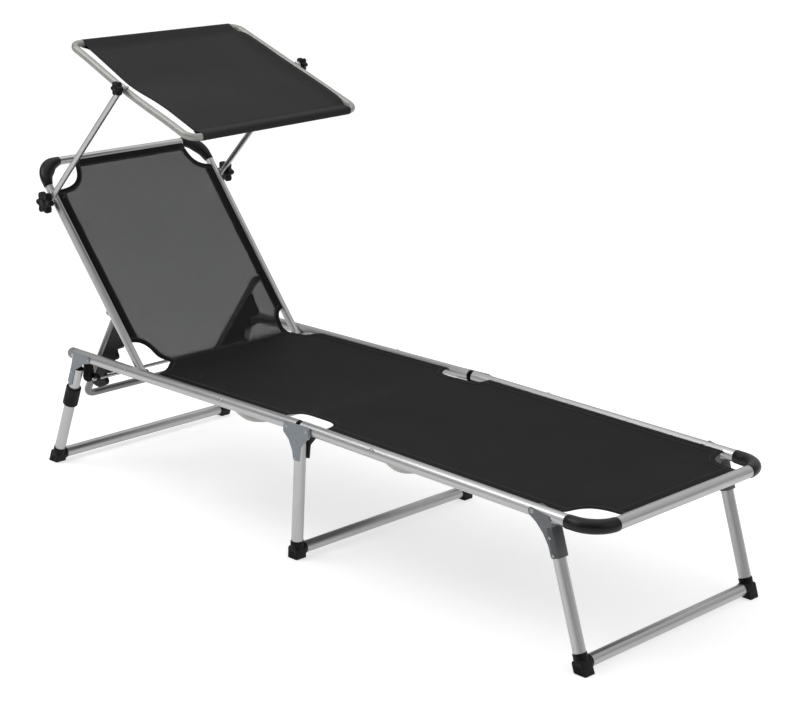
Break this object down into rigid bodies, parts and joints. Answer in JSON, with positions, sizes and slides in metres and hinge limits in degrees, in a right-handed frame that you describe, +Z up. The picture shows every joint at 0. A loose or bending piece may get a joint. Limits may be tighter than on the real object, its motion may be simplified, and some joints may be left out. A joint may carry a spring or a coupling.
{
  "type": "folding sun lounger with canopy",
  "caption": "Folding three-leg sun lounger: bowed fabric bed between tube rails, propped reclining backrest and a clamped, tilting fabric canopy on side arms.",
  "frame": {"origin": "on the floor under the middle of the bounding box", "axes": "+Z up, +Y towards the head end, X across; -X is the right side of a person lying on it"},
  "size_m": [0.55, 1.7092, 0.9962],
  "materials": {
    "aluminium_tube": "satin drawn tube",
    "steel": "grey coated pressed sheet",
    "dark_steel": "dark grey coated tube and bar",
    "black_plastic": "fine-grained moulding",
    "grey_plastic": "fine-grained moulding",
    "fabric": "open woven coated mesh with hemmed edges"
  },
  "bodies": {
    "middle_stand": {"mid_plate_outer_right": "steel", "mid_plate_outer_left": "steel", "mid_plate_inner_right": "steel", "mid_plate_inner_left": "steel", "mid_leg_right": "aluminium_tube", "mid_leg_left": "aluminium_tube", "mid_foot_right": "black_plastic", "mid_foot_left": "black_plastic", "mid_floor_bar": "aluminium_tube"},
    "head_section": {"head_rail_right": "aluminium_tube", "head_rail_left": "aluminium_tube", "head_end_cap_right": "grey_plastic", "head_end_cap_left": "grey_plastic", "head_brace": "aluminium_tube", "prop_rest_bar": "dark_steel", "hanger_right": "black_plastic", "hanger_left": "black_plastic", "backrest_bolt_right": "dark_steel", "backrest_bolt_left": "dark_steel", "head_seat_fabric": "fabric"},
    "foot_section": {"foot_rail_right": "aluminium_tube", "foot_rail_left": "aluminium_tube", "foot_corner_sleeve_right": "black_plastic", "foot_corner_sleeve_left": "black_plastic", "foot_end_tube": "aluminium_tube", "foot_brace": "aluminium_tube", "foot_seat_fabric": "fabric"},
    "rear_leg": {"rear_bracket_right": "steel", "rear_bracket_left": "steel", "rear_leg_right": "aluminium_tube", "rear_leg_left": "aluminium_tube", "rear_foot_right": "black_plastic", "rear_foot_left": "black_plastic", "rear_floor_bar": "aluminium_tube"},
    "lock_sleeve_right": {"lock_sleeve_right": "black_plastic"},
    "lock_sleeve_left": {"lock_sleeve_left": "black_plastic"},
    "front_leg": {"front_bracket_right": "steel", "front_bracket_left": "steel", "front_leg_right": "aluminium_tube", "front_leg_left": "aluminium_tube", "front_foot_right": "black_plastic", "front_foot_left": "black_plastic", "front_floor_bar": "aluminium_tube"},
    "backrest": {"back_tube_right": "aluminium_tube", "back_tube_left": "aluminium_tube", "back_corner_sleeve_right": "black_plastic", "back_corner_sleeve_left": "black_plastic", "back_top_tube": "aluminium_tube", "backrest_fabric": "fabric"},
    "prop": {"prop_bow": "dark_steel", "prop_rack_right": "black_plastic", "prop_rack_left": "black_plastic"},
    "canopy_arms": {"canopy_arm_right": "aluminium_tube", "canopy_arm_left": "aluminium_tube"},
    "canopy": {"canopy_frame": "aluminium_tube", "canopy_fabric": "fabric"},
    "knob_lower_right": {"knob_lower_right": "black_plastic"},
    "knob_lower_left": {"knob_lower_left": "black_plastic"},
    "knob_upper_right": {"knob_upper_right": "black_plastic"},
    "knob_upper_left": {"knob_upper_left": "black_plastic"}
  },
  "joints": [
    {"name": "head_fold", "type": "hinge", "parent": "middle_stand", "child": "head_section", "pos_m": [0, -0.03446, 0.29], "axis": [-1, 0, 0], "range_deg": [0, 84]},
    {"name": "foot_fold", "type": "hinge", "parent": "middle_stand", "child": "foot_section", "pos_m": [0, -0.09246, 0.29], "axis": [1, 0, 0], "range_deg": [0, 84]},
    {"name": "rear_leg_fold", "type": "hinge", "parent": "head_section", "child": "rear_leg", "pos_m": [0, 0.64174, 0.2819], "axis": [-1, 0, 0], "range_deg": [0, 111]},
    {"name": "front_leg_fold", "type": "hinge", "parent": "foot_section", "child": "front_leg", "pos_m": [0, -0.69876, 0.2861], "axis": [1, 0, 0], "range_deg": [0, 104]},
    {"name": "backrest_tilt", "type": "hinge", "parent": "head_section", "child": "backrest", "pos_m": [0, 0.48604, 0.2775], "axis": [-1, 0, 0], "range_deg": [0, 44.4]},
    {"name": "prop_swing", "type": "hinge", "parent": "backrest", "child": "prop", "pos_m": [0, 0.6035, 0.39422], "axis": [1, 0, 0], "range_deg": [0, 84.4]},
    {"name": "canopy_arm_tilt", "type": "hinge", "parent": "backrest", "child": "canopy_arms", "pos_m": [0, 0.78051, 0.62436], "axis": [1, 0, 0], "range_deg": [-45, 45]},
    {"name": "canopy_tilt", "type": "hinge", "parent": "canopy_arms", "child": "canopy", "pos_m": [0, 0.49974, 0.9154], "axis": [1, 0, 0], "range_deg": [-60, 60]},
    {"name": "lock_sleeve_right_slide", "type": "slide", "parent": "rear_leg", "child": "lock_sleeve_right", "axis": [0, 0.3718, -0.9283], "range_m": [0, 0.04]},
    {"name": "lock_sleeve_left_slide", "type": "slide", "parent": "rear_leg", "child": "lock_sleeve_left", "axis": [0, 0.3718, -0.9283], "range_m": [0, 0.04]},
    {"name": "knob_lower_right_turn", "type": "hinge", "parent": "canopy_arms", "child": "knob_lower_right", "pos_m": [-0.265, 0.78051, 0.62436], "axis": [-1, 0, 0], "continuous": true},
    {"name": "knob_lower_left_turn", "type": "hinge", "parent": "canopy_arms", "child": "knob_lower_left", "pos_m": [0.265, 0.78051, 0.62436], "axis": [1, 0, 0], "continuous": true},
    {"name": "knob_upper_right_turn", "type": "hinge", "parent": "canopy_arms", "child": "knob_upper_right", "pos_m": [-0.265, 0.49974, 0.9154], "axis": [-1, 0, 0], "continuous": true},
    {"name": "knob_upper_left_turn", "type": "hinge", "parent": "canopy_arms", "child": "knob_upper_left", "pos_m": [0.265, 0.49974, 0.9154], "axis": [1, 0, 0], "continuous": true}
  ],
  "couplings": [
    {"joint": "prop_swing", "follows": "backrest_tilt", "ratio": 1.9}
  ]
}
